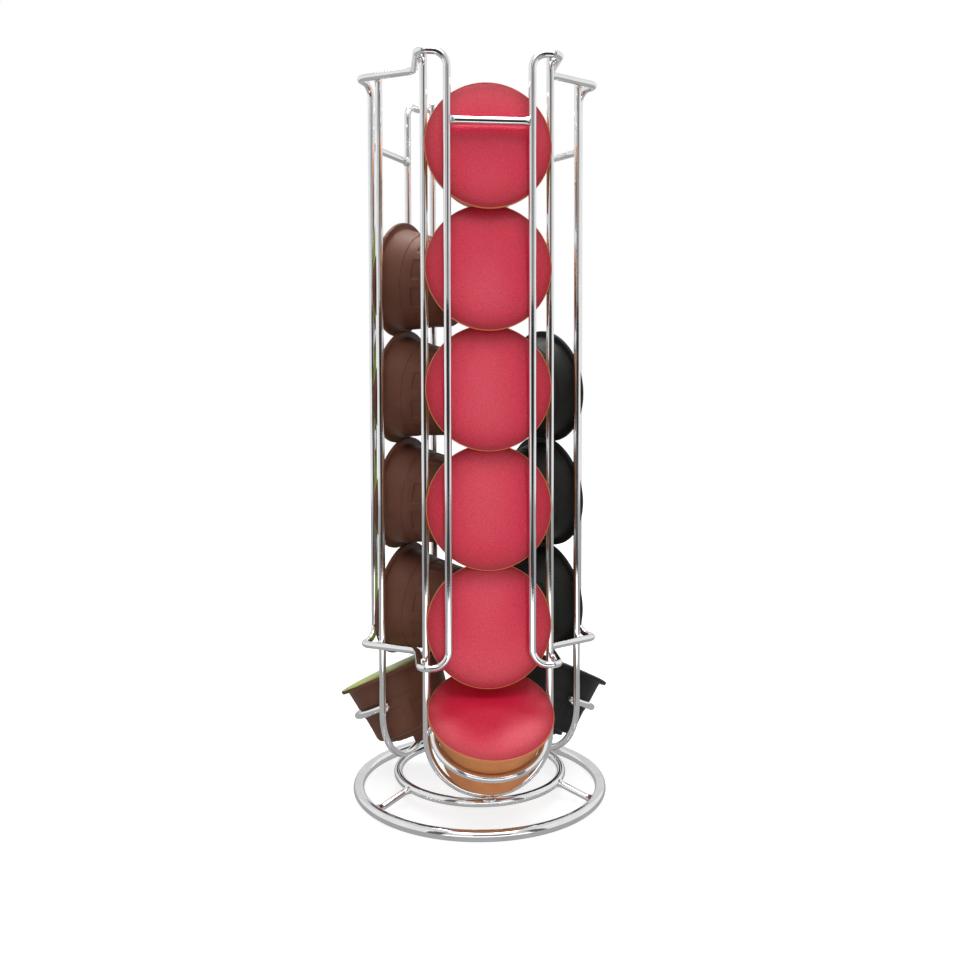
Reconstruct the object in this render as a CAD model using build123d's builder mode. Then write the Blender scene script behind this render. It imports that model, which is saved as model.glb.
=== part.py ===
"""Wire capsule holder: three upright channels on a ring base, loaded with coffee capsules.

Millimetres, +Z up. The origin lies on the worktop, on the rack's upright axis. The front
channel faces -Y, and the left and right channels follow a third of a turn to either side.
In a channel's own plane X runs across it and -Y points outwards.
"""
import os
from math import cos, hypot, radians, sin, sqrt, tan

from build123d import *

# Wire diameters, and how far welded wires sink into each other
frame_wire = 3.2
outer_ring_wire = 5.0
inner_ring_wire = 4.0
spoke_wire = 3.0
weld_sink = 0.2
wire_end_round = 0.7

# Capsule shell, from its flange back to its nub
body_diameter = 48.0
body_depth = 28.0
body_taper = 9.1
flange_width = 3.0
flange_thickness = 1.6
flange_round = 0.4
shell_wall = 0.9
shoulder_round = 2.8
shoulder_ledge = 4.6
step_height = 2.0
step_round = 0.7
boss_ledge = 3.0
boss_height = 0.8
nub_diameter = 7.6
nub_height = 4.5
nub_wall = 1.1
nub_bore_depth = 2.8
nub_pin_diameter = 1.6
nub_pin_drop = 0.9

# Fins around the nub, and shallow windows around the body that run out at the shoulder
fin_count = 8
fin_length = 3.4
fin_height = 1.3
fin_thickness = 0.6
window_count = 10
window_angle = 25
window_recess = 0.45
window_start = 15.0
window_margin = 3.6
cut_overrun = 1.0

# Foil lid, slightly domed by the pressure under it
lid_thickness = 0.3
lid_dome = 1.2
lid_inset = 0.4

# Room left around the capsules, and how far the stacked ones lean back
capsule_clearance = 0.3
body_play = 1.4
channel_play = 0.7
core_radius = 4.1
stack_lean = 6.5

# Channel wires
guard_spacing = 35.7
guard_rise = 10.5
guard_top_margin = 9.7
guard_top_bend = 6.0
guard_bottom_bend = 7.0
guard_corner_bend = 4.0
guard_inner_bend = 6.0
crossbar_drop = 28.0

# Cradle hoops that hold the lowest capsules
hoop_tilt = 26.5
hoop_offset = 3.6
hoop_rise = 0.5
hoop_tail = 1.8

# Ring base
inner_ring_height = 8.6
inner_ring_offset = 1.5
ring_spacing = 18.4
stand_flat = 0.15

# Channels: their angle about the axis, and how many capsules stand above the lowest one
channel_angle = 120
stack_capacity_count = 5
front_stack_count = 5
left_stack_count = 4
right_stack_count = 3
channels = {
    "front": (0, front_stack_count),
    "left": (-channel_angle, left_stack_count),
    "right": (channel_angle, right_stack_count),
}
corner_angle = channel_angle / 2
corners = {
    "left_front": -corner_angle,
    "right_front": corner_angle,
    "rear": channel_angle + corner_angle,
}

# Capsule outline
body_radius = body_diameter / 2
flange_radius = body_radius + flange_width
lid_radius = flange_radius - lid_inset
taper_slope = tan(radians(body_taper))
taper_cosine = cos(radians(body_taper))
shoulder_depth = flange_thickness + body_depth
shoulder_radius = body_radius - body_depth * taper_slope
step_radius = shoulder_radius - shoulder_ledge
step_depth = shoulder_depth + step_height
boss_radius = step_radius - boss_ledge
boss_depth = step_depth + boss_height
nub_radius = nub_diameter / 2
nub_bore_radius = nub_radius - nub_wall
tip_depth = boss_depth + nub_height
nub_floor_depth = tip_depth - nub_bore_depth
nub_pin_depth = tip_depth - nub_pin_drop
floor_depth = shoulder_depth - shell_wall
inner_mouth_radius = body_radius - shell_wall / taper_cosine + flange_thickness * taper_slope
inner_floor_radius = inner_mouth_radius - floor_depth * taper_slope
lid_dome_radius = (lid_radius**2 + lid_dome**2) / (2 * lid_dome)

# Channel plan: every radius is counted outwards from the capsule tips near the axis
wire_radius = frame_wire / 2
lid_stack = lid_thickness + lid_dome
lean_sine = sin(radians(stack_lean))
lean_cosine = cos(radians(stack_lean))
seat_radius = core_radius + tip_depth * lean_cosine
lid_reach = seat_radius + flange_radius * lean_sine + lid_thickness
guard_radius = lid_reach + capsule_clearance + wire_radius
rail_radius = seat_radius - flange_thickness - channel_play - wire_radius
rail_half = body_radius + body_play + wire_radius
guard_half = guard_spacing / 2
corner_half = rail_half + frame_wire - weld_sink
hoop_half = rail_half - frame_wire + weld_sink

# Heights of the base and the rails, which stand on the inner ring
inner_ring_radius = rail_radius + inner_ring_offset
outer_ring_radius = inner_ring_radius + ring_spacing
outer_ring_height = outer_ring_wire / 2 - stand_flat
rail_seat = (frame_wire + inner_ring_wire) / 2 - weld_sink
rail_bottom = inner_ring_height + sqrt(rail_seat**2 - inner_ring_offset**2)
rail_bend_height = rail_bottom + rail_half

# The lowest capsule wedges in its hoop where its cone is just narrower than the hoop
tilt_sine = sin(radians(hoop_tilt))
tilt_cosine = cos(radians(hoop_tilt))
hoop_radius = rail_radius + hoop_offset
hoop_height = rail_bend_height + hoop_rise
wedge_radius = hoop_half - (wire_radius + capsule_clearance) / taper_cosine
wedge_depth = flange_thickness + (body_radius - wedge_radius) / taper_slope
cradle_radius = hoop_radius + wedge_depth * tilt_sine
cradle_height = hoop_height + wedge_depth * tilt_cosine



def rest_height(rim_radius, rim_height):
    """Height of a leaning capsule's flange centre when its cone rests on a rim below it."""
    mouth_radius = body_radius + flange_thickness * taper_slope
    reach = seat_radius - rim_radius + mouth_radius * lean_sine
    depth = reach / (lean_cosine + taper_slope * lean_sine)
    below = mouth_radius - depth * taper_slope
    return rim_height + depth * lean_sine + below * lean_cosine + capsule_clearance


# Each capsule rests with its cone on the rim below, so its flange hangs in front of that lid
cradle_rim_radius = cradle_radius - flange_radius * tilt_cosine + lid_thickness * tilt_sine
cradle_rim_height = cradle_height + flange_radius * tilt_sine + lid_thickness * tilt_cosine
stack_start = rest_height(cradle_rim_radius, cradle_rim_height)
stack_pitch = rest_height(seat_radius - flange_radius * lean_sine, flange_radius * lean_cosine)
guard_bottom = stack_start - flange_radius + guard_rise
guard_top = stack_start + (stack_capacity_count - 1) * stack_pitch + flange_radius + guard_top_margin
crossbar_height = guard_top - crossbar_drop


def turned_plane(turn):
    """The upright frame of a channel or corner that is turned about the rack's axis."""
    across = (cos(radians(turn)), sin(radians(turn)), 0)
    return Plane(origin=(0, 0, 0), x_dir=across, z_dir=(0, 0, 1))


def keep(piece, name):
    """Labels a finished piece and writes its file."""
    piece.part.label = name
    export_step(piece.part, f"parts/{name}.step")


def straight_wire(start, end, diameter):
    """A round wire between two points."""
    run = Vector(end) - Vector(start)
    with BuildPart() as wire:
        with BuildSketch(Plane(origin=start, z_dir=run)):
            Circle(diameter / 2)
        extrude(amount=run.length)
    return wire


def bent_wire(path, diameter):
    """A round wire along a path of straight runs and tangent arcs."""
    with BuildPart() as wire:
        with BuildSketch(Plane(origin=path @ 0, z_dir=path % 0)):
            Circle(diameter / 2)
        sweep(path=path)
        ends = wire.faces().filter_by(GeomType.PLANE)
        if ends:
            fillet(ends.edges(), radius=wire_end_round)
    return wire


def rail(channel):
    """A hairpin rail: two legs behind the flanges, joined by a half circle at the foot."""
    top = guard_top + wire_radius
    with BuildLine(channel) as path:
        Line((rail_half, -rail_radius, top), (rail_half, -rail_radius, rail_bend_height))
        ThreePointArc(
            (rail_half, -rail_radius, rail_bend_height),
            (0, -rail_radius, rail_bottom),
            (-rail_half, -rail_radius, rail_bend_height),
        )
        Line((-rail_half, -rail_radius, rail_bend_height), (-rail_half, -rail_radius, top))
    return bent_wire(path.wires()[0], frame_wire)


def guard(corner):
    """A closed loop at a corner: one upright holds the flanges of each channel beside it."""
    corner_cosine = cos(radians(corner_angle))
    corner_sine = sin(radians(corner_angle))

    def corner_point(across, height):
        side = guard_radius * corner_sine - across * corner_cosine
        out = guard_radius * corner_cosine + across * corner_sine
        return side, -out, height

    def mirrored(point):
        return -point[0], point[1], point[2]

    upright_foot = corner_point(guard_half, guard_bottom)
    upright_head = corner_point(guard_half, guard_top)
    outer_foot = corner_point(corner_half, guard_bottom)
    outer_head = corner_point(corner_half, guard_top)
    inner_out = corner_half / corner_sine
    points = [
        upright_foot,
        upright_head,
        outer_head,
        (0, -inner_out, guard_top),
        mirrored(outer_head),
        mirrored(upright_head),
        mirrored(upright_foot),
        mirrored(outer_foot),
        (0, -inner_out, guard_bottom),
        outer_foot,
    ]
    bends = [
        guard_bottom_bend,
        guard_top_bend,
        guard_corner_bend,
        guard_inner_bend,
        guard_corner_bend,
        guard_top_bend,
        guard_bottom_bend,
        guard_corner_bend,
        guard_inner_bend,
        guard_corner_bend,
    ]
    with BuildLine(corner) as path:
        FilletPolyline(*points, radius=bends, close=True)
    return bent_wire(path.wires()[0], frame_wire)


def crossbar(channel):
    """A short bar across the head of a channel, butted between its two guard uprights."""
    reach = guard_half - wire_radius + weld_sink
    start = channel.from_local_coords(Vector(-reach, -guard_radius, crossbar_height))
    end = channel.from_local_coords(Vector(reach, -guard_radius, crossbar_height))
    return straight_wire(start, end, frame_wire)


def hoop(channel):
    """A tilted half hoop welded inside the rail legs, in which the lowest capsule sits."""

    def hoop_point(across, out):
        return across, -(hoop_radius + out * tilt_cosine), hoop_height - out * tilt_sine

    tail = -(hoop_offset / tilt_cosine + hoop_tail)
    with BuildLine(channel) as path:
        Line(hoop_point(hoop_half, tail), hoop_point(hoop_half, 0))
        ThreePointArc(hoop_point(hoop_half, 0), hoop_point(0, hoop_half), hoop_point(-hoop_half, 0))
        Line(hoop_point(-hoop_half, 0), hoop_point(-hoop_half, tail))
    return bent_wire(path.wires()[0], frame_wire)


def spoke(corner):
    """A sloping wire from the inner ring down to the outer ring."""
    rise = inner_ring_height - outer_ring_height
    slope_length = hypot(ring_spacing, rise)
    inner_share = (inner_ring_wire / 2 - weld_sink) / slope_length
    outer_share = (outer_ring_wire / 2 - weld_sink) / slope_length
    start = Vector(
        0,
        -(inner_ring_radius + ring_spacing * inner_share),
        inner_ring_height - rise * inner_share,
    )
    end = Vector(
        0,
        -(outer_ring_radius - ring_spacing * outer_share),
        outer_ring_height + rise * outer_share,
    )
    return straight_wire(corner.from_local_coords(start), corner.from_local_coords(end), spoke_wire)


def cradle_seat(channel):
    """The plane of the lowest capsule's flange, facing out and up."""
    centre = channel.from_local_coords(Vector(0, -cradle_radius, cradle_height))
    facing = channel.z_dir * tilt_cosine - channel.y_dir * tilt_sine
    return Plane(origin=centre, x_dir=channel.x_dir, z_dir=facing)


def stack_seat(channel, place):
    """The plane of the flange of a capsule that leans in the channel, facing out."""
    height = stack_start + place * stack_pitch
    centre = channel.from_local_coords(Vector(0, -seat_radius, height))
    facing = channel.z_dir * lean_sine - channel.y_dir * lean_cosine
    return Plane(origin=centre, x_dir=channel.x_dir, z_dir=facing)


def radial_plane(angle):
    """A plane through a capsule's axis: X is the radius and Y is the axis."""
    out = (cos(radians(angle)), sin(radians(angle)), 0)
    facing = (sin(radians(angle)), -cos(radians(angle)), 0)
    return Plane(origin=(0, 0, 0), x_dir=out, z_dir=facing)


def cone_radius(depth):
    """Radius of the shell's tapered body at a depth behind the flange's front."""
    return body_radius - (depth - flange_thickness) * taper_slope


def placed(piece, seat):
    """A copy of a capsule's piece, put at its seat in a channel."""
    with BuildPart() as copy:
        with Locations(seat.location):
            add(piece.part)
    return copy


# Capsule shell in its own frame: the flange faces +Z and the nub points down
shell_outline = [
    (inner_mouth_radius, 0),
    (flange_radius, 0),
    (flange_radius, -flange_thickness),
    (body_radius, -flange_thickness),
    (shoulder_radius, -shoulder_depth),
    (step_radius, -shoulder_depth),
    (step_radius, -step_depth),
    (boss_radius, -step_depth),
    (boss_radius, -boss_depth),
    (nub_radius, -boss_depth),
    (nub_radius, -tip_depth),
    (nub_bore_radius, -tip_depth),
    (nub_bore_radius, -nub_floor_depth),
    (nub_pin_diameter / 2, -nub_floor_depth),
    (nub_pin_diameter / 2, -nub_pin_depth),
    (0, -nub_pin_depth),
    (0, -floor_depth),
    (inner_floor_radius, -floor_depth),
]
shell_rounds = [0] * len(shell_outline)
shell_rounds[shell_outline.index((flange_radius, -flange_thickness))] = flange_round
shell_rounds[shell_outline.index((shoulder_radius, -shoulder_depth))] = shoulder_round
shell_rounds[shell_outline.index((step_radius, -step_depth))] = step_round
window_front = flange_thickness + window_start
window_back = shoulder_depth - window_margin
window_outline = [
    (cone_radius(window_front) + cut_overrun, -window_front),
    (cone_radius(window_front) - window_recess, -window_front),
    (cone_radius(window_back), -window_back),
    (cone_radius(window_back) + cut_overrun, -window_back),
]
fin_outline = [
    (nub_bore_radius + nub_wall / 2, -boss_depth),
    (nub_radius + fin_length, -boss_depth),
    (nub_radius, -boss_depth - fin_height),
    (nub_bore_radius + nub_wall / 2, -boss_depth - fin_height),
]
with BuildPart() as shell:
    with BuildSketch(Plane.XZ):
        with BuildLine():
            FilletPolyline(*shell_outline, radius=shell_rounds, close=True)
        make_face()
    revolve(axis=Axis.Z)
    for window in range(window_count):
        with BuildSketch(radial_plane(window * 360 / window_count)):
            with BuildLine():
                Polyline(*window_outline, close=True)
            make_face()
    revolve(axis=Axis.Z, revolution_arc=window_angle, mode=Mode.SUBTRACT)
    for fin in range(fin_count):
        with BuildSketch(radial_plane(fin * 360 / fin_count)):
            with BuildLine():
                Polyline(*fin_outline, close=True)
            make_face()
    extrude(amount=fin_thickness / 2, both=True)

# Foil lid in the same frame: a disc sealed on the flange, with a shallow dome
with BuildPart() as lid:
    with BuildSketch(Plane.XZ):
        with BuildLine():
            Polyline((0, lid_stack), (0, 0), (lid_radius, 0), (lid_radius, lid_thickness))
            RadiusArc((lid_radius, lid_thickness), (0, lid_stack), -lid_dome_radius)
        make_face()
    revolve(axis=Axis.Z)

os.makedirs("parts", exist_ok=True)

# Outer ring, with a narrow flat on its underside to stand on
with BuildPart() as outer_ring:
    with BuildSketch(Plane.XZ):
        with Locations((outer_ring_radius, outer_ring_height)):
            Circle(outer_ring_wire / 2)
        with Locations((outer_ring_radius, -stand_flat)):
            Rectangle(outer_ring_wire, 2 * stand_flat, mode=Mode.SUBTRACT)
    revolve(axis=Axis.Z)
keep(outer_ring, "outer_ring")

# Inner ring, which carries the rails
with BuildPart() as inner_ring:
    with BuildSketch(Plane.XZ):
        with Locations((inner_ring_radius, inner_ring_height)):
            Circle(inner_ring_wire / 2)
    revolve(axis=Axis.Z)
keep(inner_ring, "inner_ring")

# Corner wires between the channels
for corner_name, corner_turn in corners.items():
    corner_plane = turned_plane(corner_turn)
    keep(guard(corner_plane), f"{corner_name}_guard")
    keep(spoke(corner_plane), f"{corner_name}_spoke")

# Channel wires and the capsules in each channel, numbered from the lowest
for channel_name, (channel_turn, stacked) in channels.items():
    channel_plane = turned_plane(channel_turn)
    keep(rail(channel_plane), f"{channel_name}_rail")
    keep(hoop(channel_plane), f"{channel_name}_hoop")
    keep(crossbar(channel_plane), f"{channel_name}_crossbar")
    seats = [cradle_seat(channel_plane)]
    seats += [stack_seat(channel_plane, place) for place in range(stacked)]
    for number, capsule_seat in enumerate(seats, start=1):
        keep(placed(shell, capsule_seat), f"{channel_name}_capsule_{number}_shell")
        keep(placed(lid, capsule_seat), f"{channel_name}_capsule_{number}_lid")

print(f"guards from {guard_bottom:.2f} to {guard_top:.2f}, radius {guard_radius:.2f}")
print(f"rails at {rail_radius:.2f}, half {rail_half:.2f}, foot {rail_bottom:.2f}")
print(f"cradle seat {cradle_radius:.2f}, {cradle_height:.2f}, wedge depth {wedge_depth:.2f}")
print(f"stack from {stack_start:.2f}, pitch {stack_pitch:.2f}, seat radius {seat_radius:.2f}")
print(f"rings at {inner_ring_radius:.2f} and {outer_ring_radius:.2f}")
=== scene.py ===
"""Looks of the wire capsule holder: chrome wires with weld beads, moulded capsules and foil lids.

The object's sizes are in millimetres, the studio's in metres, and angles in degrees.
"""

import math
import random

import bpy
from mathutils import Matrix, Vector


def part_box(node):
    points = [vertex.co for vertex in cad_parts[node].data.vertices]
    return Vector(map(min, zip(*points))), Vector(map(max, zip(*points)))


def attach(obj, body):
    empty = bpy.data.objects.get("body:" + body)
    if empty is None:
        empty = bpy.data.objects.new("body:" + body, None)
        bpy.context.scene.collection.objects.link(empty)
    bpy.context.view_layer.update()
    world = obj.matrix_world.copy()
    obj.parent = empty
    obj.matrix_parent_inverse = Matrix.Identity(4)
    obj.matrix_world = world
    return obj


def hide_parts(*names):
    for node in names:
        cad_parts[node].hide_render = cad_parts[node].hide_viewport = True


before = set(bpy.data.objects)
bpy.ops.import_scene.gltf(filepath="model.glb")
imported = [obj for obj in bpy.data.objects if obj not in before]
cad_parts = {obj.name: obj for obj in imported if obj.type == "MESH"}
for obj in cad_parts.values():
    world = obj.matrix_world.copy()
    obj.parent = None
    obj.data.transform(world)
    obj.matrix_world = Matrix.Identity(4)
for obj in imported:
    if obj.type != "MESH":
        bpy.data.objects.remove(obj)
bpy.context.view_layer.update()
MM = 0.001
SEED, HIGHEST_SEED = 11, 9999
rng = random.Random(SEED)

# Each channel's turn about the stand's axis, and the slots of its shells and lids
CHANNEL_ANGLE = 120
CHANNELS = {
    "front": (0, "shell_tan", "lid_red"),
    "left": (-CHANNEL_ANGLE, "shell_brown", "lid_green"),
    "right": (CHANNEL_ANGLE, "shell_black", "lid_maroon"),
}

# Capsule shell, from its flange back to its nub
BODY_R = 24.0
BODY_DEPTH = 28.0
BODY_TAPER = 9.1
FLANGE_WIDTH = 3.0
FLANGE_T = 1.6
MOUTH_SINK = 0.13
MOUTH_LIP = 0.8
MOUTH_SLOPE = 0.6
SHOULDER_ROUND = 2.8
SHOULDER_LEDGE = 4.6
STEP_HEIGHT = 2.0
BOSS_LEDGE = 3.0
BOSS_HEIGHT = 0.8
NUB_R = 3.8
NUB_WALL = 1.1
NUB_HEIGHT = 4.5
BORE_LENGTH = 2.8
PIN_R = 0.8
PIN_DROP = 0.9
FLANGE_R = BODY_R + FLANGE_WIDTH
SLOPE = math.tan(math.radians(BODY_TAPER))
SHOULDER_DEPTH = FLANGE_T + BODY_DEPTH
STEP_R = BODY_R - BODY_DEPTH * SLOPE - SHOULDER_LEDGE
STEP_DEPTH = SHOULDER_DEPTH + STEP_HEIGHT
BOSS_R = STEP_R - BOSS_LEDGE
BOSS_DEPTH = STEP_DEPTH + BOSS_HEIGHT
TIP_DEPTH = BOSS_DEPTH + NUB_HEIGHT
BORE_R = NUB_R - NUB_WALL
BORE_DEPTH = TIP_DEPTH - BORE_LENGTH
PIN_DEPTH = TIP_DEPTH - PIN_DROP

# Soft edges and feet of the shell: how far each reaches along its face and along its wall.
# The first is negative where the face lies inside the wall, the second where the wall runs to the mouth.
FLANGE_FRONT, FLANGE_BACK, FLANGE_ROOT = (-0.2, 0.22), (0.5, 0.38), (1.05, 1.0)
STEP_FOOT, STEP_EDGE = (0.48, 0.4), (0.7, 0.7)
BOSS_FOOT, BOSS_EDGE = (0.4, 0.2), (0.25, 0.22)
NUB_FOOT, NUB_EDGE = (0.6, 0.4), (0.32, 0.35)
BORE_EDGE, BORE_CORNER = (0.3, -0.35), (0.2, -0.2)
PIN_FOOT, PIN_EDGE = (0.2, 0.2), (0.25, 0.25)

# Shallow windows round the body, behind a moulded ridge whose step runs out at their back
WINDOW_COUNT = 10
WINDOW_ANGLE = 25.0
WINDOW_EDGE_ANGLE = 1.2
WINDOW_RECESS = 0.45
WINDOW_START = 15.0
WINDOW_MARGIN = 3.6
WINDOW_LIP = (-0.2, 0.15)
RIDGE_START = 10.0
RIDGE_STEP = 0.28
RIDGE_SOFT = 0.14
RIDGE_NOSE_SHARE = 0.1
WINDOW_PITCH = 360 / WINDOW_COUNT
WINDOW_FRONT = FLANGE_T + WINDOW_START
WINDOW_BACK = SHOULDER_DEPTH - WINDOW_MARGIN
LIP_START, LIP_END = (WINDOW_FRONT + reach for reach in WINDOW_LIP)
RIDGE_DEPTH = FLANGE_T + RIDGE_START

# Where the body's rows lie on the way from flange to ridge, from ridge to windows and along these,
# and where its columns lie on the way to a window's middle and across the web beside it
FRONT_SHARES, RIDGE_SHARES = (0.2, 0.5, 0.85), (0.12, 0.5)
WINDOW_SHARES = (0.02, 0.14, 0.35, 0.57, 0.78, 0.94)
HALF_WINDOW_SHARES, WEB_SHARES = (0.32, 0.64), (0.25, 0.5, 0.75)

# Fins between the nub and the boss, each set a little into both
FIN_COUNT = 8
FIN_LENGTH = 3.4
FIN_HEIGHT = 1.3
FIN_T = 0.6
FIN_TOE = 0.05
FIN_NOSE = (0.3, 0.1)
FIN_SINK_IN_NUB = 0.5
FIN_SINK_IN_BOSS = 0.1

# Foil lid and the crimped rim that holds its edge
LID_INSET = 0.2
LID_T = 0.3
LID_DOME = 1.2
LID_EDGE = 1.8
LID_TURN_DOWN = 0.28
LID_UNDERSIDE = 0.01
LID_STEPS, LID_COLUMNS = 18, 144
LID_R = FLANGE_R - LID_INSET
RIPPLE_COUNT, RIPPLE_GAIN = 3, 4
RIPPLE_WAVES, RIPPLE_SIZES = (2, 5), (0.01, 0.03)
# How closely the painted shade and the dullness gather at a lid's edge
EDGE_SHADE_AND_DULL_POWER = 6
CRIMP_NOTCHES = 144
CRIMP_COLUMNS = 4 * CRIMP_NOTCHES
CRIMP_DEPTH = 0.06
CRIMP_INWARD_SHARE = 0.6

# The small ring that closes a turned form at its axis
POLE_R = 0.05

# How far a stacked capsule and the cradle's capsule look up
STACK_LEAN = 6.5
HOOP_TILT = 26.5
CRADLE_LEAN = 90 - HOOP_TILT


def node_box(name):
    """The lowest and highest corners of a CAD node."""
    return [Vector(corner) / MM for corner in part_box(name)]


def seat_of(node, lean):
    """Distance from the axis and height of a front capsule's flange face, from its shell's box."""
    low, high = node_box(node)
    angle = math.radians(lean)
    return -low.y - FLANGE_R * math.sin(angle), high.z - FLANGE_R * math.cos(angle)


SEAT_RADIUS, STACK_START = seat_of("front_capsule_2_shell", STACK_LEAN)
CRADLE_RADIUS, CRADLE_HEIGHT = seat_of("front_capsule_1_shell", CRADLE_LEAN)
STACK_PITCH = seat_of("front_capsule_3_shell", STACK_LEAN)[1] - STACK_START

# Radii of the wires, and the wires' places from the frame
WIRE_R = 1.6
INNER_RING_R = 2.0
OUTER_RING_R = 2.5
SPOKE_R = 1.5
WELD_SINK = 0.2
bar_low, bar_high = node_box("front_crossbar")
GUARD_RADIUS = -(bar_low.y + bar_high.y) / 2
GUARD_HALF = bar_high.x + WIRE_R - WELD_SINK
CROSSBAR_HEIGHT = (bar_low.z + bar_high.z) / 2
guard_low, guard_high = node_box("left_front_guard")
GUARD_BOTTOM = guard_low.z + WIRE_R
GUARD_TOP = guard_high.z - WIRE_R
rail_low, rail_high = node_box("front_rail")
RAIL_RADIUS = -(rail_low.y + rail_high.y) / 2
RAIL_HALF = rail_high.x - WIRE_R
RAIL_BOTTOM = rail_low.z + WIRE_R
hoop_low, hoop_high = node_box("front_hoop")
HOOP_HALF = hoop_high.x - WIRE_R
HOOP_REACH = -hoop_low.y - WIRE_R - RAIL_RADIUS
HOOP_WELD_HEIGHT = hoop_low.z + WIRE_R + HOOP_REACH * math.tan(math.radians(HOOP_TILT))
inner_low, inner_high = node_box("inner_ring")
INNER_RING = inner_high.x - INNER_RING_R
INNER_RING_HEIGHT = (inner_low.z + inner_high.z) / 2
outer_high = node_box("outer_ring")[1]
OUTER_RING = outer_high.x - OUTER_RING_R
OUTER_RING_HEIGHT = outer_high.z - OUTER_RING_R


def smooth(a, b, x):
    """A soft step from 0 at a to 1 at b."""
    t = min(1.0, max(0.0, (x - a) / (b - a)))
    return t * t * (3 - 2 * t)


def between(start, end, shares):
    """Values at shares of the way from start to end."""
    return [start + (end - start) * share for share in shares]


def channel_matrix(turn):
    """The upright frame of a channel: X across it, -Y outwards, Z up."""
    return Matrix.Rotation(math.radians(turn), 4, "Z")


def seat_matrix(turn, number):
    """The frame of a capsule: its flange faces local Z."""
    if number == 1:
        out, height, lean = CRADLE_RADIUS, CRADLE_HEIGHT, CRADLE_LEAN
    else:
        out, height, lean = SEAT_RADIUS, STACK_START + (number - 2) * STACK_PITCH, STACK_LEAN
    facing = Matrix.Rotation(math.radians(90 - lean), 4, "X")
    return channel_matrix(turn) @ Matrix.Translation((0, -out, height)) @ facing


def make_object(name, verts, faces, material, body, slot, sharp=40.0):
    """A smooth-shaded piece that rides a body; its edges past the sharp angle stay sharp."""
    mesh = bpy.data.meshes.new(name)
    mesh.from_pydata([tuple(c * MM for c in v) for v in verts], [], faces)
    mesh.validate()
    mesh.update()
    mesh.shade_smooth()
    mesh.set_sharp_from_angle(angle=math.radians(sharp))
    mesh.materials.append(material)
    obj = bpy.data.objects.new(name, mesh)
    bpy.context.scene.collection.objects.link(obj)
    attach(obj, body)
    return obj


def ring_faces(rows, columns, start=0, looped=False):
    """Quads between rings of points that follow each other; end rings are capped, or joined if looped."""
    faces = []
    for i in range(rows if looped else rows - 1):
        a, b = start + i * columns, start + (i + 1) % rows * columns
        for j in range(columns):
            k = (j + 1) % columns
            faces.append((a + j, b + j, b + k, a + k))
    if not looped:
        last = start + (rows - 1) * columns
        faces.append(tuple(range(start, start + columns)))
        faces.append(tuple(reversed(range(last, last + columns))))
    return faces


# Materials

# Where most of a noise's values lie, and the depth of the finest grain in metres
NOISE_LOW, NOISE_HIGH = 0.3, 0.7
GRAIN_DEPTH = 0.0001

# Dark, middle and light tone of each foil, the dark one reached mostly in the painted shade at a lid's
# edge, and dark and light tone of each plastic
FOIL_TONES = {
    "lid_red": ((0.42, 0.003, 0.019), (0.78, 0.0125, 0.057), (0.92, 0.05, 0.14)),
    "lid_green": ((0.30, 0.38, 0.04), (0.45, 0.53, 0.10), (0.56, 0.64, 0.18)),
    "lid_maroon": ((0.10, 0.008, 0.016), (0.18, 0.018, 0.032), (0.25, 0.035, 0.05)),
}
PLASTIC_TONES = {
    "shell_tan": ((0.70, 0.26, 0.095), (0.77, 0.31, 0.115)),
    "shell_brown": ((0.165, 0.068, 0.043), (0.19, 0.08, 0.052)),
    "shell_black": ((0.018, 0.018, 0.0175), (0.025, 0.025, 0.024)),
}
CHROME_TONES = (0.80, 0.80, 0.81), (0.90, 0.90, 0.91)


def new_material(name):
    """A material with its node tree and its shader."""
    material = bpy.data.materials.new(name)
    material.use_nodes = True
    tree = material.node_tree
    return material, tree, tree.nodes["Principled BSDF"]


def noise(tree, scale, detail, rough=0.55):
    """A noise in the object's own coordinates."""
    coords = tree.nodes.new("ShaderNodeTexCoord")
    node = tree.nodes.new("ShaderNodeTexNoise")
    node.inputs["Scale"].default_value = scale
    node.inputs["Detail"].default_value = detail
    node.inputs["Roughness"].default_value = rough
    tree.links.new(coords.outputs["Object"], node.inputs["Vector"])
    return node.outputs["Fac"]


def ramp(tree, source, stops):
    """Colours at places between 0 and 1 of a value; the two end stops come first."""
    node = tree.nodes.new("ShaderNodeValToRGB")
    ends = node.color_ramp.elements
    for index, (place, colour) in enumerate(stops):
        stop = ends[index] if index < 2 else ends.new(place)
        stop.position = place
        stop.color = (*colour, 1.0)
    tree.links.new(source, node.inputs["Fac"])
    return node.outputs["Color"]


def spread(tree, source, source_ends, ends):
    """A value moved from one range to another."""
    node = tree.nodes.new("ShaderNodeMapRange")
    node.inputs["From Min"].default_value, node.inputs["From Max"].default_value = source_ends
    node.inputs["To Min"].default_value, node.inputs["To Max"].default_value = ends
    tree.links.new(source, node.inputs["Value"])
    return node.outputs["Result"]


def add_share(tree, base, source, share):
    """A value with a share of another one added."""
    node = tree.nodes.new("ShaderNodeMath")
    node.operation = "MULTIPLY_ADD"
    tree.links.new(source, node.inputs[0])
    node.inputs[1].default_value = share
    tree.links.new(base, node.inputs[2])
    return node.outputs["Value"]


def bump(tree, shader, source, strength):
    """Roughen a shader's surface by a grain."""
    node = tree.nodes.new("ShaderNodeBump")
    node.inputs["Strength"].default_value = strength
    node.inputs["Distance"].default_value = GRAIN_DEPTH
    tree.links.new(source, node.inputs["Height"])
    tree.links.new(node.outputs["Normal"], shader.inputs["Normal"])


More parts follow.
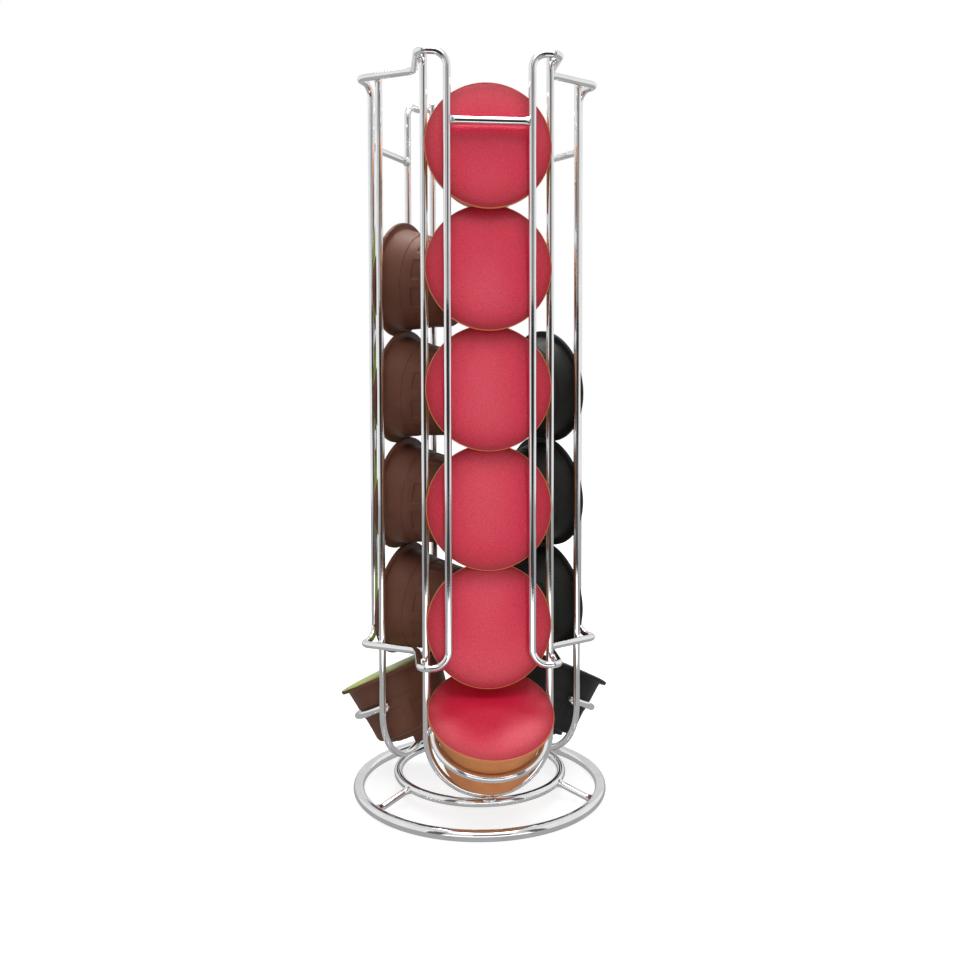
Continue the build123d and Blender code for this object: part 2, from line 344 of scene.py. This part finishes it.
def chrome_material():
    """Bright plating with faint smears and a trace of the drawn wire under it."""
    material, tree, shader = new_material("chrome")
    smear = noise(tree, scale=90.0, detail=5.0)
    grain = noise(tree, scale=900.0, detail=2.0)
    tone = ramp(tree, smear, zip((NOISE_LOW, NOISE_HIGH), CHROME_TONES))
    gloss = spread(tree, smear, (NOISE_LOW, NOISE_HIGH), (0.03, 0.10))
    tree.links.new(tone, shader.inputs["Base Color"])
    tree.links.new(gloss, shader.inputs["Roughness"])
    shader.inputs["Metallic"].default_value = 1.0
    bump(tree, shader, grain, strength=0.02)
    return material


def foil_material(name, dark, middle, light):
    """Lacquered foil: satin, with painted shade that deepens its tone towards its edge, duller there too,
    and a fine grain that sparkles.
    """
    material, tree, shader = new_material(name)
    cloud = noise(tree, scale=45.0, detail=3.0)
    grain = noise(tree, scale=2600.0, detail=2.0, rough=0.6)
    reach = tree.nodes.new("ShaderNodeAttribute")
    reach.attribute_name = "reach"
    # Painted shade: the stored reach pulls the tone towards the dark one near a lid's edge.
    depth = add_share(tree, grain, reach.outputs["Fac"], share=-0.4)
    tone = ramp(tree, depth, [(0.16, dark), (0.84, light), (0.5, middle)])
    gloss = spread(tree, cloud, (NOISE_LOW, NOISE_HIGH), (0.285, 0.3))
    dull = add_share(tree, gloss, reach.outputs["Fac"], share=0.35)
    tree.links.new(tone, shader.inputs["Base Color"])
    tree.links.new(dull, shader.inputs["Roughness"])
    shader.inputs["Metallic"].default_value = 0.08
    shader.inputs["Specular IOR Level"].default_value = 0.65
    bump(tree, shader, grain, strength=0.16)
    return material


def plastic_material(name, dark, light):
    """Moulded plastic: matt, faintly mottled, with a fine grain."""
    material, tree, shader = new_material(name)
    mottle = noise(tree, scale=120.0, detail=4.0)
    grain = noise(tree, scale=2200.0, detail=2.0)
    tone = ramp(tree, mottle, [(NOISE_LOW, dark), (NOISE_HIGH, light)])
    gloss = spread(tree, mottle, (NOISE_LOW, NOISE_HIGH), (0.42, 0.56))
    tree.links.new(tone, shader.inputs["Base Color"])
    tree.links.new(gloss, shader.inputs["Roughness"])
    shader.inputs["Specular IOR Level"].default_value = 0.16
    bump(tree, shader, grain, strength=0.12)
    return material


chrome = chrome_material()
materials = {name: foil_material(name, *tones) for name, tones in FOIL_TONES.items()}
materials |= {name: plastic_material(name, *tones) for name, tones in PLASTIC_TONES.items()}
wires = [node for name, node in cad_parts.items() if "capsule" not in name]
for wire in wires:
    wire.data.materials.clear()
    wire.data.materials.append(chrome)


# Capsules


def turned(seat, radius, angle, height):
    """A point of a turned form in a capsule's frame, at an angle in radians."""
    return seat @ Vector((radius * math.cos(angle), radius * math.sin(angle), height))


def quarter_round(start, end, steps, from_face):
    """Rows of a quarter round between two rows of an outline, which sets out along a face or a wall."""
    rows = []
    for step in range(steps + 1):
        turn = math.pi / 2 * step / steps
        shares = math.sin(turn), 1 - math.cos(turn)
        across, along = shares if from_face else reversed(shares)
        rows.append((start[0] + (end[0] - start[0]) * across, start[1] + (end[1] - start[1]) * along))
    return rows


def face_to_wall(radius, depth, reach, steps):
    """The round from a level face at a depth to a turned wall of a radius."""
    across, along = reach
    return quarter_round((radius + across, depth), (radius, depth + along), steps, from_face=True)


def wall_to_face(radius, depth, reach, steps):
    """The round from a turned wall of a radius to a level face at a depth."""
    across, along = reach
    return quarter_round((radius, depth - along), (radius - across, depth), steps, from_face=False)


def cone(depth):
    """Radius of the plain tapered body."""
    return BODY_R - (depth - FLANGE_T) * SLOPE


def behind_ridge(depth):
    """Radius of the body behind the ridge, whose step runs out at the windows' back."""
    return cone(depth) - RIDGE_STEP * (WINDOW_BACK - depth) / (WINDOW_BACK - RIDGE_DEPTH)


def body_rows():
    """The tapered body from the flange's root over the ridge to the windows' back."""
    start = FLANGE_T + FLANGE_ROOT[1]
    ridge_front, ridge_back = RIDGE_DEPTH - RIDGE_SOFT, RIDGE_DEPTH + RIDGE_SOFT
    front = between(start, ridge_front, FRONT_SHARES) + [ridge_front]
    back = [ridge_back] + between(ridge_back, LIP_START, RIDGE_SHARES) + [LIP_START, WINDOW_FRONT, LIP_END]
    back += between(LIP_END, WINDOW_BACK, WINDOW_SHARES) + [WINDOW_BACK]
    rows = face_to_wall(cone(start), FLANGE_T, FLANGE_ROOT, steps=4)
    rows += [(cone(depth), depth) for depth in front]
    rows += [(cone(RIDGE_DEPTH) - RIDGE_NOSE_SHARE * RIDGE_STEP, RIDGE_DEPTH)]
    rows += [(behind_ridge(depth), depth) for depth in back]
    return rows


def shoulder_rows(steps=8):
    """The round from the tapered body to the shoulder's face."""
    depth = SHOULDER_DEPTH - SHOULDER_ROUND
    middle = cone(depth) - SHOULDER_ROUND / math.cos(math.radians(BODY_TAPER))
    turns = [math.radians(BODY_TAPER + (90 - BODY_TAPER) * step / steps) for step in range(steps + 1)]
    return [(middle + SHOULDER_ROUND * math.cos(t), depth + SHOULDER_ROUND * math.sin(t)) for t in turns]


def shell_profile():
    """Radius and depth of the shell's rows, from the middle of its mouth round to its nub."""
    lip = FLANGE_R - MOUTH_LIP
    rows = [(POLE_R, MOUTH_SINK), (lip - MOUTH_SLOPE, MOUTH_SINK), (lip, 0.0)]
    rows += face_to_wall(FLANGE_R, 0.0, FLANGE_FRONT, steps=2)
    rows += wall_to_face(FLANGE_R, FLANGE_T, FLANGE_BACK, steps=3)
    rows += body_rows()
    rows += shoulder_rows()
    rows += face_to_wall(STEP_R, SHOULDER_DEPTH, STEP_FOOT, steps=3)
    rows += wall_to_face(STEP_R, STEP_DEPTH, STEP_EDGE, steps=5)
    rows += face_to_wall(BOSS_R, STEP_DEPTH, BOSS_FOOT, steps=2)
    rows += wall_to_face(BOSS_R, BOSS_DEPTH, BOSS_EDGE, steps=2)
    rows += [((BOSS_R + NUB_R) / 2, BOSS_DEPTH)]
    rows += face_to_wall(NUB_R, BOSS_DEPTH, NUB_FOOT, steps=2)
    rows += wall_to_face(NUB_R, TIP_DEPTH, NUB_EDGE, steps=2)
    rows += face_to_wall(BORE_R, TIP_DEPTH, BORE_EDGE, steps=2)
    rows += wall_to_face(BORE_R, BORE_DEPTH, BORE_CORNER, steps=1)
    rows += face_to_wall(PIN_R, BORE_DEPTH, PIN_FOOT, steps=1)
    rows += wall_to_face(PIN_R, PIN_DEPTH, PIN_EDGE, steps=1)
    rows += [(POLE_R, PIN_DEPTH)]
    return rows


def shell_angles():
    """Angles of the shell's columns: each window from edge to edge, then the web beside it."""
    middle = WINDOW_ANGLE / 2
    half = [0, WINDOW_EDGE_ANGLE / 2, WINDOW_EDGE_ANGLE] + between(0, middle, HALF_WINDOW_SHARES)
    window = half + [middle] + [WINDOW_ANGLE - angle for angle in reversed(half)]
    web = between(WINDOW_ANGLE, WINDOW_PITCH, WEB_SHARES)
    return [WINDOW_PITCH * number + angle for number in range(WINDOW_COUNT) for angle in window + web]


def window_depth(angle, depth):
    """How far a window sinks below the body at a place on it."""
    if not LIP_START < depth < WINDOW_BACK:
        return 0.0
    part = angle % WINDOW_PITCH
    across = smooth(0, WINDOW_EDGE_ANGLE, part)
    across *= 1 - smooth(WINDOW_ANGLE - WINDOW_EDGE_ANGLE, WINDOW_ANGLE, part)
    along = smooth(LIP_START, LIP_END, depth)
    return WINDOW_RECESS * across * along * (WINDOW_BACK - depth) / (WINDOW_BACK - WINDOW_FRONT)


def fin_outline():
    """Radius and depth of a fin's corners: a wedge that falls from the nub out over the boss."""
    root, toe = NUB_R - FIN_SINK_IN_NUB, NUB_R + FIN_LENGTH
    foot, top = BOSS_DEPTH - FIN_SINK_IN_BOSS, BOSS_DEPTH + FIN_HEIGHT
    outline = [(root, foot), (toe, foot), (toe, BOSS_DEPTH + FIN_TOE)]
    outline += [(NUB_R + FIN_NOSE[0], top - FIN_NOSE[1]), (NUB_R, top), (root, top)]
    return outline


PROFILE = shell_profile()
ANGLES = shell_angles()
FIN_OUTLINE = fin_outline()


def shell_mesh(seat):
    """Points and faces of one shell: the turned body with its windows, and the fins round its nub."""
    verts = []
    for radius, depth in PROFILE:
        for angle in ANGLES:
            verts.append(turned(seat, radius - window_depth(angle, depth), math.radians(angle), -depth))
    faces = ring_faces(len(PROFILE), len(ANGLES))
    for number in range(FIN_COUNT):
        place = seat @ Matrix.Rotation(math.tau * number / FIN_COUNT, 4, "Z")
        faces += ring_faces(2, len(FIN_OUTLINE), start=len(verts))
        for side in (-FIN_T / 2, FIN_T / 2):
            verts += [place @ Vector((radius, side, -depth)) for radius, depth in FIN_OUTLINE]
    return verts, faces


LID_ROWS = [max(POLE_R, LID_R * math.sin(math.pi / 2 * step / LID_STEPS)) for step in range(LID_STEPS + 1)]


def lid_mesh(seat, seed):
    """Points and faces of one lid: a puffed disc with a soft turned edge and faint ripples."""
    local = random.Random(seed)
    ripples = []
    for _ in range(RIPPLE_COUNT):
        waves = local.randint(*RIPPLE_WAVES)
        phase = local.uniform(0, math.tau)
        ripples.append((waves, phase, local.uniform(*RIPPLE_SIZES)))
    turns = [math.tau * column / LID_COLUMNS for column in range(LID_COLUMNS)]
    verts = []
    for radius in LID_ROWS:
        share = radius / LID_R
        fade = RIPPLE_GAIN * share**2 * (1 - share)
        level = LID_T + LID_DOME * (1 - share**2) - LID_TURN_DOWN * smooth(LID_R - LID_EDGE, LID_R, radius)
        for turn in turns:
            ripple = sum(size * math.sin(waves * turn + phase) for waves, phase, size in ripples)
            verts.append(turned(seat, radius, turn, level + fade * ripple))
    for radius in (LID_ROWS[-1], LID_ROWS[0]):
        verts += [turned(seat, radius, turn, LID_UNDERSIDE) for turn in turns]
    return verts, ring_faces(len(LID_ROWS) + 2, LID_COLUMNS)


def mark_edge_shade_and_dullness(lid):
    """Store on each point of a lid how near its edge it lies, for the foil's painted edge shade and its
    duller edge.
    """
    reach = lid.data.attributes.new("reach", "FLOAT", "POINT")
    for index, item in enumerate(reach.data):
        row = min(index // LID_COLUMNS, len(LID_ROWS) - 1)
        item.value = (LID_ROWS[row] / LID_R)**EDGE_SHADE_AND_DULL_POWER


# Outline of the rim: how far inside the flange's edge, how high, and its share of a notch's depth
RIM_OUTLINE = (
    (0.3, -0.02, 0),
    (0.24, 0.06, 0.5),
    (0.16, 0.08, 1),
    (0.07, 0.03, 1),
    (0.015, -0.08, 1),
    (0.01, -0.6, 0.4),
)


def rim_mesh(seat):
    """Points and faces of the crimped bead that holds a lid's edge down on the flange."""
    verts = []
    for inset, height, share in RIM_OUTLINE:
        for column in range(CRIMP_COLUMNS):
            turn = math.tau * column / CRIMP_COLUMNS
            dip = share * CRIMP_DEPTH * (1 - math.cos(CRIMP_NOTCHES * turn)) / 2
            verts.append(turned(seat, FLANGE_R - inset - dip * CRIMP_INWARD_SHARE, turn, height - dip))
    return verts, ring_faces(len(RIM_OUTLINE), CRIMP_COLUMNS, looped=True)


def add_capsule(body, seat, shell_slot, lid_slot):
    """The shell, lid and rim of one capsule."""
    shell = make_object(f"{body}_moulding", *shell_mesh(seat), materials[shell_slot], body, shell_slot)
    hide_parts(f"{body}_shell")
    seed = rng.randint(1, HIGHEST_SEED)
    lid = make_object(f"{body}_foil", *lid_mesh(seat, seed), materials[lid_slot], body, lid_slot)
    mark_edge_shade_and_dullness(lid)
    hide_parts(f"{body}_lid")
    make_object(f"{body}_rim", *rim_mesh(seat), materials[shell_slot], body, shell_slot)


for side, (turn, shell_slot, lid_slot) in CHANNELS.items():
    lids = [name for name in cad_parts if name.startswith(f"{side}_capsule") and name.endswith("_lid")]
    for number in range(1, len(lids) + 1):
        add_capsule(f"{side}_capsule_{number}", seat_matrix(turn, number), shell_slot, lid_slot)


# Welds

# Radius and half length of the beads, and how far they sink into the wires that they join
GUARD_BEAD, HOOP_BEAD, FOOT_BEAD, DRIP_BEAD = (0.85, 1.5), (0.8, 1.4), (1.15, 2.6), (0.75, 1.5)
BEAD_SINK = 0.1

# Rows and columns of a bead, the part of it that its end rings leave open for a cap, and its lumps
BEAD_ROWS, BEAD_COLUMNS, BEAD_POLE_SHARE = 12, 20, 0.01
LUMP_WAVES, LUMP_ROUND_SHARE, LUMP_LONG_SHARE = (1.5, 3.5), 0.09, 0.07

# How far above and below the wire's middle the beads lie at the guards' foot, their head and the hoops.
# A hoop's beads also move outwards by a share of that, and rise along their seam.
GUARD_FOOT_LIFTS, GUARD_HEAD_LIFTS, HOOP_LIFTS = (-1.35, 1.35), (-1.5, 0.3), (-1.3, 1.3)
HOOP_OUTWARD_SHARE = 0.6
HOOP_BEAD_RISE = 0.4

# The beads at a rail's foot: how far they lie to the side, out and up, and how steeply the drip rises
FOOT_SIDE, FOOT_LIFT = 2.6, 0.3
DRIP_SIDE, DRIP_OUT, DRIP_LIFT, DRIP_RISE = 1.3, 1.35, 1.2, 0.3

# Flare, length and sink of the collars where cross bars and spokes butt against other wires
BAR_COLLAR, SPOKE_COLLAR = (0.75, 3.0), (0.7, 2.4)
BAR_COLLAR_SINK, SPOKE_COLLAR_SINK = 0.5, 0.35
COLLAR_ROWS, COLLAR_COLUMNS = 8, 28
COLLAR_WAVES, COLLAR_PHASE, COLLAR_WAVE_SHARE = 3, 1.1, 0.12
COLLAR_END_START_SHARE, COLLAR_END_SINK = 0.85, 0.04

# The spokes lie halfway between the channels
SPOKE_TURNS = [(number - 0.5) * CHANNEL_ANGLE for number in range(len(CHANNELS))]

weld_verts, weld_faces = [], []


def add_weld(centre, direction, place_at, rows, columns):
    """Add a form turned about an axis to the welds. place_at says how far along and out a point lies."""
    axis = direction.normalized()
    across = axis.orthogonal().normalized()
    third = axis.cross(across)
    weld_faces.extend(ring_faces(rows + 1, columns, start=len(weld_verts)))
    for row in range(rows + 1):
        for column in range(columns):
            turn = math.tau * column / columns
            along, out = place_at(row / rows, turn)
            aside = across * math.cos(turn) + third * math.sin(turn)
            weld_verts.append(centre + axis * along + aside * out)


def bead(centre, direction, size):
    """A lumpy weld bead: a drop stretched along a seam."""
    radius, length = size
    local = random.Random(rng.randint(1, HIGHEST_SEED))
    waves, phase = local.uniform(*LUMP_WAVES), local.uniform(0, math.tau)
    long_waves, long_phase = local.uniform(*LUMP_WAVES), local.uniform(0, math.tau)

    def place_at(share, turn):
        lean = math.pi * min(max(share, BEAD_POLE_SHARE), 1 - BEAD_POLE_SHARE)
        swell = 1 + LUMP_ROUND_SHARE * math.sin(waves * turn + phase) * math.sin(lean)
        swell += LUMP_LONG_SHARE * math.sin(2 * long_waves * lean + long_phase)
        return length * math.cos(lean), radius * math.sin(lean) * swell

    add_weld(centre, direction, place_at, BEAD_ROWS, BEAD_COLUMNS)


def collar(start, direction, wire_radius, size):
    """A weld collar that flares where a wire butts against another."""
    flare, length = size

    def place_at(share, turn):
        wave = 1 + COLLAR_WAVE_SHARE * math.sin(COLLAR_WAVES * turn + COLLAR_PHASE)
        sink = COLLAR_END_SINK * smooth(COLLAR_END_START_SHARE, 1, 1 - share)
        return length * (1 - share), wire_radius + flare * share**2 * wave - sink

    add_weld(start, direction, place_at, COLLAR_ROWS, COLLAR_COLUMNS)


def guard_welds(place, spin, hand):
    """The collar of a cross bar on a guard, and the guard's beads on a rail leg."""
    start = Vector((hand * (GUARD_HALF - WIRE_R + BAR_COLLAR_SINK), -GUARD_RADIUS, CROSSBAR_HEIGHT))
    collar(place @ start, spin @ Vector((-hand, 0, 0)), WIRE_R, BAR_COLLAR)
    for height, lifts in ((GUARD_BOTTOM, GUARD_FOOT_LIFTS), (GUARD_TOP, GUARD_HEAD_LIFTS)):
        for lift in lifts:
            centre = Vector((hand * (RAIL_HALF + WIRE_R - BEAD_SINK), -RAIL_RADIUS, height + lift))
            bead(place @ centre, spin @ Vector((0, 1, 0)), GUARD_BEAD)


def hoop_welds(place, spin, hand):
    """The beads of a cradle hoop inside a rail leg."""
    seam = Vector((hand * (HOOP_HALF + WIRE_R - BEAD_SINK), -RAIL_RADIUS, HOOP_WELD_HEIGHT))
    for lift in HOOP_LIFTS:
        shift = Vector((0, -lift * math.cos(math.radians(HOOP_TILT)) * HOOP_OUTWARD_SHARE, lift))
        bead(place @ (seam + shift), spin @ Vector((0, 1, HOOP_BEAD_RISE)), HOOP_BEAD)


def foot_welds(place, spin, hand):
    """The bead under a rail's half circle, and the drip beside it on the inner ring."""
    height = (RAIL_BOTTOM + INNER_RING_HEIGHT) / 2 + FOOT_LIFT
    foot = Vector((hand * FOOT_SIDE, -(RAIL_RADIUS + INNER_RING) / 2, height))
    bead(place @ foot, spin @ Vector((1, 0, 0)), FOOT_BEAD)
    drip = Vector((hand * DRIP_SIDE, -INNER_RING - DRIP_OUT, INNER_RING_HEIGHT + DRIP_LIFT))
    bead(place @ drip, spin @ Vector((1, 0, DRIP_RISE * hand)), DRIP_BEAD)


def spoke_welds(place, spin):
    """The collars at a spoke's two ends."""
    inner = Vector((0, -INNER_RING, INNER_RING_HEIGHT))
    outer = Vector((0, -OUTER_RING, OUTER_RING_HEIGHT))
    slope = (outer - inner).normalized()
    inner += slope * (INNER_RING_R - SPOKE_COLLAR_SINK)
    outer -= slope * (OUTER_RING_R - SPOKE_COLLAR_SINK)
    collar(place @ inner, spin @ slope, SPOKE_R, SPOKE_COLLAR)
    collar(place @ outer, spin @ -slope, SPOKE_R, SPOKE_COLLAR)


for turn, *_ in CHANNELS.values():
    place = channel_matrix(turn)
    for hand in (-1, 1):
        for welds in (guard_welds, hoop_welds, foot_welds):
            welds(place, place.to_3x3(), hand)
for turn in SPOKE_TURNS:
    place = channel_matrix(turn)
    spoke_welds(place, place.to_3x3())
weld_beads = make_object("weld_beads", weld_verts, weld_faces, chrome, "rack", "chrome", sharp=60.0)


# Studio

# Half width of the room, and the levels of what lies under the seen floor
ROOM = 2.4
MIRRORED_DARK_LEVEL, MIRRORED_FLOOR_LEVEL, WALL_FOOT = -0.001, -0.002, -0.01

# Where the cards stand to the sides, in front and behind, how far they reach and where they end above
SIDE, SIDE_START, SIDE_END = 1.1, -0.9, 1.1
FRONT, FRONT_HALF, WINDOW_GAP = -1.2, 0.9, 0.01
BACK, BACK_HALF = 1.2, 1.3
DARK_TOP, DARK_WINDOW_TOP, CARD_TOP, CEILING = 0.32, 0.72, 1.6, 1.7
WORLD_GLOW = 0.14


def stage_piece(name, corners, faces, glow, tone=0.0, seen=False):
    """A plain studio surface, either seen by the camera or mirrored in the chrome."""
    material, _, shader = new_material(name)
    shader.inputs["Base Color"].default_value = (tone, tone, tone, 1)
    shader.inputs["Roughness"].default_value = 1.0
    shader.inputs["Specular IOR Level"].default_value = 0.0
    shader.inputs["Emission Color"].default_value = (1, 1, 1, 1)
    shader.inputs["Emission Strength"].default_value = glow
    mesh = bpy.data.meshes.new(name)
    mesh.from_pydata(corners, [], faces)
    mesh.materials.append(material)
    obj = bpy.data.objects.new(name, mesh)
    bpy.context.scene.collection.objects.link(obj)
    obj.visible_camera = seen
    obj.visible_glossy = not seen
    obj.visible_diffuse = False
    obj.visible_shadow = False
    return obj


def upright_card(name, start, end, low, high, glow):
    """An upright card on the line between two places."""
    corners = [(*start, low), (*end, low), (*end, high), (*start, high)]
    stage_piece(name, corners, [(0, 1, 2, 3)], glow)


def level_card(name, low, high, height, glow, tone=0.0, seen=False):
    """A level card between two corners."""
    corners = [(x, y, height) for x, y in (low, (high[0], low[1]), high, (low[0], high[1]))]
    return stage_piece(name, corners, [(0, 1, 2, 3)], glow, tone, seen)


def brighten_outwards(obj, distances, glows):
    """Let a floor's glow grow from the stand outwards, so that it meets the backdrop without an edge."""
    tree = obj.data.materials[0].node_tree
    place = tree.nodes.new("ShaderNodeTexCoord")
    distance = tree.nodes.new("ShaderNodeVectorMath")
    distance.operation = "LENGTH"
    tree.links.new(place.outputs["Object"], distance.inputs[0])
    glow = spread(tree, distance.outputs["Value"], distances, glows)
    tree.links.new(glow, tree.nodes["Principled BSDF"].inputs["Emission Strength"])


def backdrop():
    """The four bright walls round the room."""
    ring = [(-ROOM, -ROOM), (ROOM, -ROOM), (ROOM, ROOM), (-ROOM, ROOM)]
    corners = [(x, y, height) for height in (WALL_FOOT, 2 * ROOM) for x, y in ring]
    walls = [(i, (i + 1) % 4, (i + 1) % 4 + 4, i + 4) for i in range(4)]
    stage_piece("backdrop", corners, walls, glow=1.0, seen=True)


def floors():
    """The floor that the camera sees, and one that the chrome mirrors and that lights from below."""
    low, high = (-ROOM, -ROOM), (ROOM, ROOM)
    floor = level_card("floor", low, high, 0.0, glow=0.8, tone=0.45, seen=True)
    brighten_outwards(floor, distances=(0.08, 0.5), glows=(0.8, 1.0))
    bounce = level_card("mirrored_floor", low, high, MIRRORED_FLOOR_LEVEL, glow=0.42)
    bounce.visible_diffuse = True


def mirrored_cards():
    """Bright and dark cards around the object, whose mirror images draw the streaks on the chrome."""
    level_card("mirrored_dark", (-0.6, FRONT), (0.4, -0.35), MIRRORED_DARK_LEVEL, glow=0.05)
    level_card("ceiling_card", (-BACK_HALF, FRONT), (BACK_HALF, BACK), CEILING, glow=0.75)
    upright_card("back_card", (-BACK_HALF, BACK), (BACK_HALF, BACK), 0.0, CEILING, glow=0.72)
    for name, x in (("left_card", -SIDE), ("right_card", SIDE)):
        upright_card(name, (x, SIDE_START), (x, SIDE_END), 0.0, CARD_TOP, glow=0.9)
    upright_card("front_card", (-FRONT_HALF, FRONT), (FRONT_HALF, FRONT), DARK_TOP, CARD_TOP, glow=0.72)
    upright_card("dark_card", (-0.7, FRONT), (0.5, FRONT), 0.0, DARK_TOP, glow=0.02)
    before = FRONT + WINDOW_GAP
    upright_card("dark_window", (-0.25, before), (0.45, before), DARK_TOP, DARK_WINDOW_TOP, glow=0.05)


def surroundings():
    """A faint even light from everywhere."""
    world = bpy.data.worlds.new("studio")
    world.use_nodes = True
    background = world.node_tree.nodes["Background"]
    background.inputs["Color"].default_value = (1, 1, 1, 1)
    background.inputs["Strength"].default_value = WORLD_GLOW
    bpy.context.scene.world = world


def softbox(name, place, target, size, power):
    """A rectangular light that faces a target and isn't seen itself."""
    light = bpy.data.lights.new(name, "AREA")
    light.shape = "RECTANGLE"
    light.size, light.size_y = size
    light.energy = power
    obj = bpy.data.objects.new(name, light)
    obj.location = place
    obj.rotation_euler = (Vector(target) - Vector(place)).to_track_quat("-Z", "Y").to_euler()
    obj.visible_camera = False
    bpy.context.scene.collection.objects.link(obj)
    return obj


def keep_off_chrome(light):
    """Let a light pass the chrome by, so that it doesn't fill the dark streaks of the wires."""
    passed = bpy.data.collections.new(f"passed_by_{light.name}")
    light.light_linking.receiver_collection = passed
    for piece in wires + [weld_beads]:
        passed.objects.link(piece)
    for item in passed.collection_objects:
        item.light_linking.link_state = "EXCLUDE"


def lights():
    """Soft light from above, a strip in front for the foil's sheen, and a little from below."""
    softbox("key_box", place=(0.0, -0.62, 1.2), target=(0, 0, 0.17), size=(1.0, 0.6), power=6.9)
    strip = softbox("front_box", place=(0.1, -1.05, 0.33), target=(0, 0, 0.2), size=(0.12, 0.6), power=0.95)
    keep_off_chrome(strip)
    softbox("top_box", place=(0.0, 0.24, 1.1), target=(0, 0, 0.2), size=(0.5, 0.5), power=9.5)
    softbox("low_box", place=(0.0, -0.22, 0.012), target=(0, -0.06, 0.12), size=(0.3, 0.1), power=0.15)


backdrop()
floors()
mirrored_cards()
surroundings()
lights()


# Camera, in metres and degrees
CAMERA_PLACE = (-0.04934, -0.46454, 0.1934)
CAMERA_TURN, CAMERA_PITCH, CAMERA_ROLL = -6.129, -2.711, -0.132
SENSOR_WIDTH, LENS = 36.0, 37.655
SHIFT_Y = -0.0573
NEAREST = 0.01
camera = bpy.data.objects.new("camera", bpy.data.cameras.new("camera"))
camera.matrix_world = (
    Matrix.Translation(CAMERA_PLACE)
    @ Matrix.Rotation(math.radians(CAMERA_TURN), 4, "Z")
    @ Matrix.Rotation(math.radians(90 + CAMERA_PITCH), 4, "X")
    @ Matrix.Rotation(math.radians(CAMERA_ROLL), 4, "Z")
)
camera.data.sensor_width = SENSOR_WIDTH
camera.data.lens = LENS
camera.data.shift_y = SHIFT_Y
camera.data.clip_start = NEAREST
bpy.context.scene.collection.objects.link(camera)
bpy.context.scene.camera = camera
bpy.context.scene.view_settings.view_transform = "Standard"
